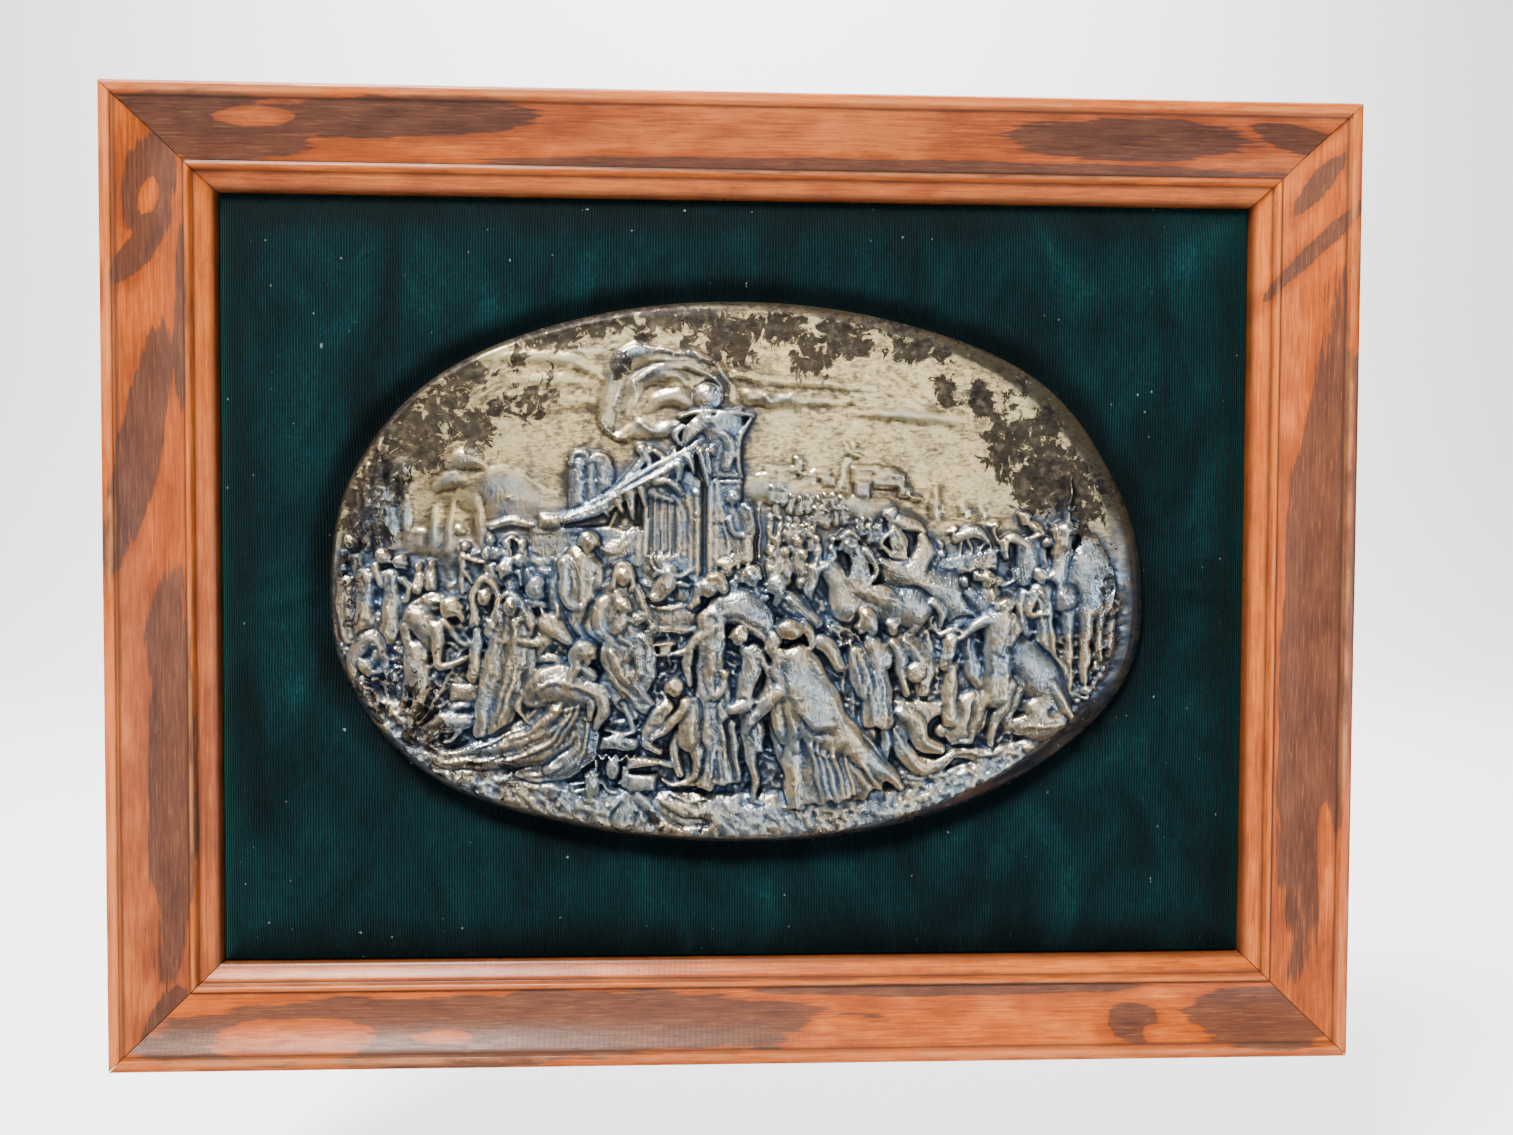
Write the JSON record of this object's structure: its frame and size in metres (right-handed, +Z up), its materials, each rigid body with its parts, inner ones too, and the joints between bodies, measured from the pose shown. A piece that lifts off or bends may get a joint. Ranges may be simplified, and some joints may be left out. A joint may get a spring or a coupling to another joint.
{
  "type": "framed relief plaque",
  "caption": "Oval silvered high-relief plate of a crowded adoration scene on a puffed green velvet pad, in a mitred scooped pine frame with a saw-tooth hanger",
  "frame": {"origin": "the middle of the hanger's back face, on the wall, 9.5 mm below the frame's top edge", "axes": "X to the right as seen from the front, Y into the wall, Z up; the relief faces -Y"},
  "size_m": [0.343, 0.0248, 0.2667],
  "materials": {
    "pine": "stained and waxed pine, satin",
    "hardboard": "matt brown board",
    "velvet": "dark green ribbed velvet",
    "silvered_metal": "tarnished silver plate",
    "plated_steel": "brassed steel, dulled"
  },
  "bodies": {
    "root": {"rail_top": "pine", "rail_bottom": "pine", "rail_left": "pine", "rail_right": "pine", "backing_board": "hardboard", "velvet_pad": "velvet", "relief_plate": "silvered_metal", "hanger": "plated_steel", "hanger_nail_left": "plated_steel", "hanger_nail_right": "plated_steel"}
  },
  "joints": []
}
